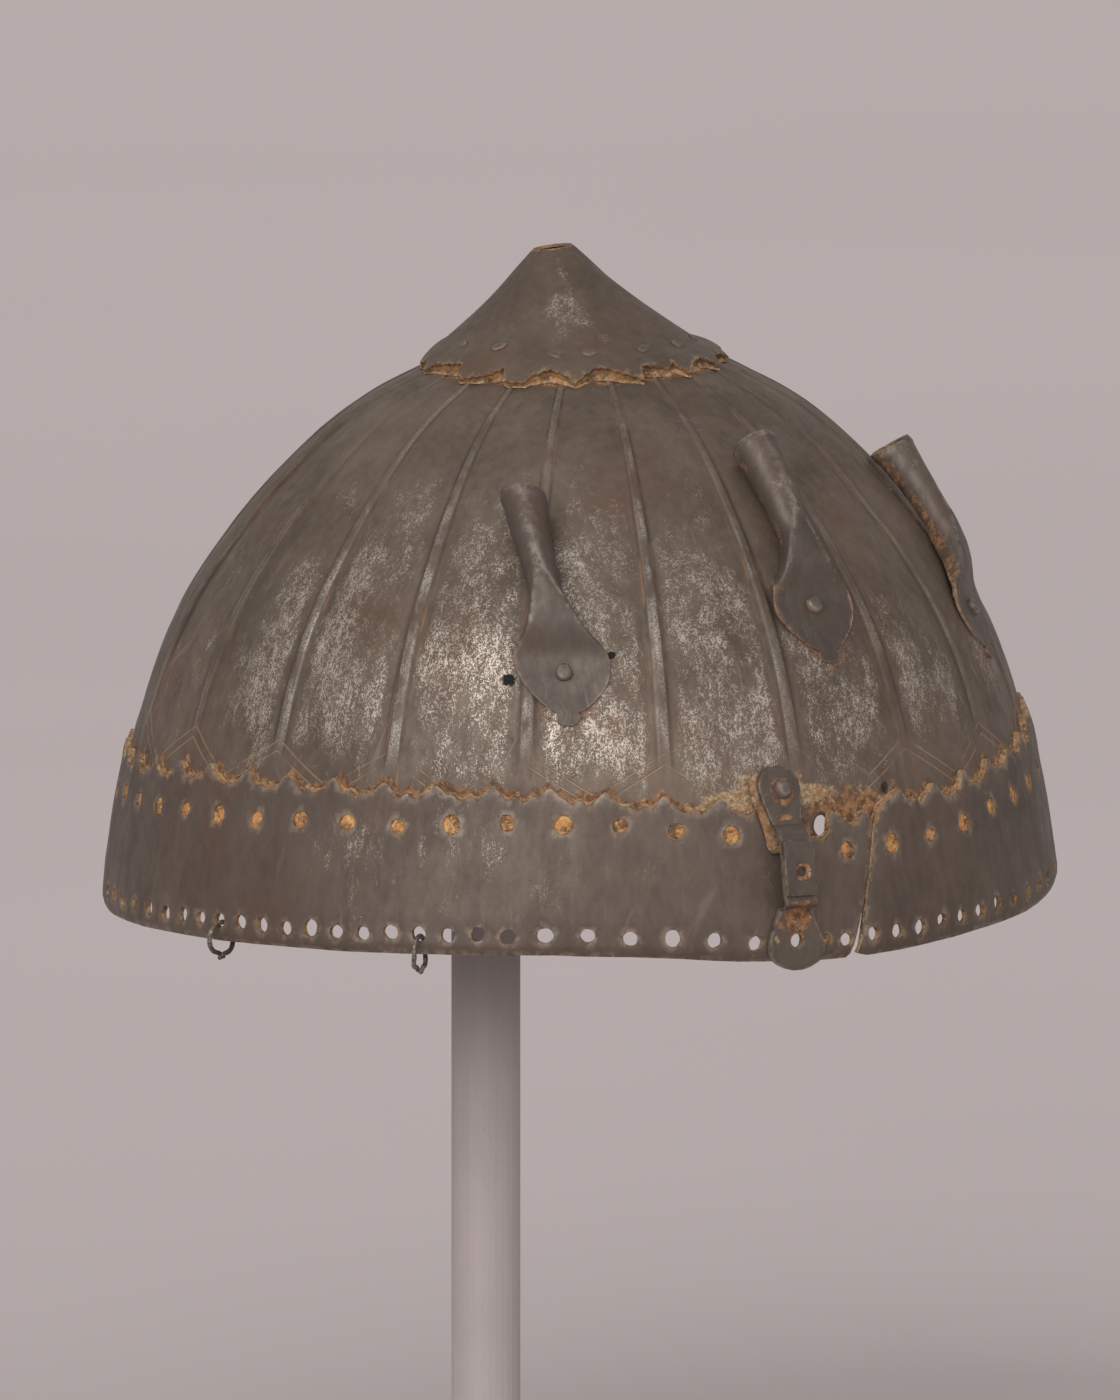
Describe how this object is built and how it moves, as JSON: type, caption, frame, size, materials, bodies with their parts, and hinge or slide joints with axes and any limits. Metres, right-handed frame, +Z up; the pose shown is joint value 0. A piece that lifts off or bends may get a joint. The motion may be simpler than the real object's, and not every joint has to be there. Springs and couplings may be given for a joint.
{
  "type": "fluted iron helmet on a display post",
  "caption": "Fluted iron helmet with a cone finial, rolled plume sockets, a scalloped pierced browband, a nasal bracket and wire rings, held up on a plain round display post.",
  "frame": {"origin": "centre of the underside of the stand's base, on the post's axis", "axes": "+Z up along the post, -Y the way the helmet faces, +X to the viewer's right when facing the brow"},
  "size_m": [0.228, 0.2334, 0.3058],
  "materials": {
    "iron": "worn brown patina with silvery rub marks and rust",
    "band_iron": "smooth brown patina with fine scratches",
    "finial_iron": "smooth brown patina",
    "socket_iron": "dark worn iron with bright edges",
    "bracket_iron": "dark iron with orange rust",
    "rusty_plate": "rusted thin plate",
    "rivet_iron": "worn rivet heads",
    "ring_wire": "dark rusted wire",
    "stand_paint": "matt mauve-grey paint",
    "pad_paint": "matt painted support"
  },
  "bodies": {
    "helmet_on_stand": {"bowl": "iron", "browband": "band_iron", "finial_cap": "finial_iron", "finial_rivet_01": "rivet_iron", "finial_rivet_02": "rivet_iron", "finial_rivet_03": "rivet_iron", "finial_rivet_04": "rivet_iron", "finial_rivet_05": "rivet_iron", "finial_rivet_06": "rivet_iron", "finial_rivet_07": "rivet_iron", "finial_rivet_08": "rivet_iron", "finial_rivet_09": "rivet_iron", "finial_rivet_10": "rivet_iron", "finial_rivet_11": "rivet_iron", "finial_rivet_12": "rivet_iron", "plume_socket_left": "socket_iron", "plume_socket_front": "socket_iron", "plume_socket_right": "socket_iron", "socket_rivet_left": "rivet_iron", "socket_rivet_front": "rivet_iron", "socket_rivet_right": "rivet_iron", "nasal_bracket": "bracket_iron", "bracket_backing": "rusty_plate", "bracket_rivet": "rivet_iron", "stand_base": "stand_paint", "stand_post": "stand_paint", "stand_pad": "pad_paint"},
    "ring_1": {"mail_ring_1": "ring_wire"},
    "ring_2": {"mail_ring_2": "ring_wire"}
  },
  "joints": [
    {"name": "ring_1_swing", "type": "hinge", "parent": "helmet_on_stand", "child": "ring_1", "pos_m": [-0.08944, -0.03842, 0.15268], "axis": [0.9687, 0.2484, 0], "range_deg": [-40, 40]},
    {"name": "ring_2_swing", "type": "hinge", "parent": "helmet_on_stand", "child": "ring_2", "pos_m": [-0.06184, -0.08819, 0.15365], "axis": [0.7254, 0.6884, 0], "range_deg": [-40, 40]}
  ]
}
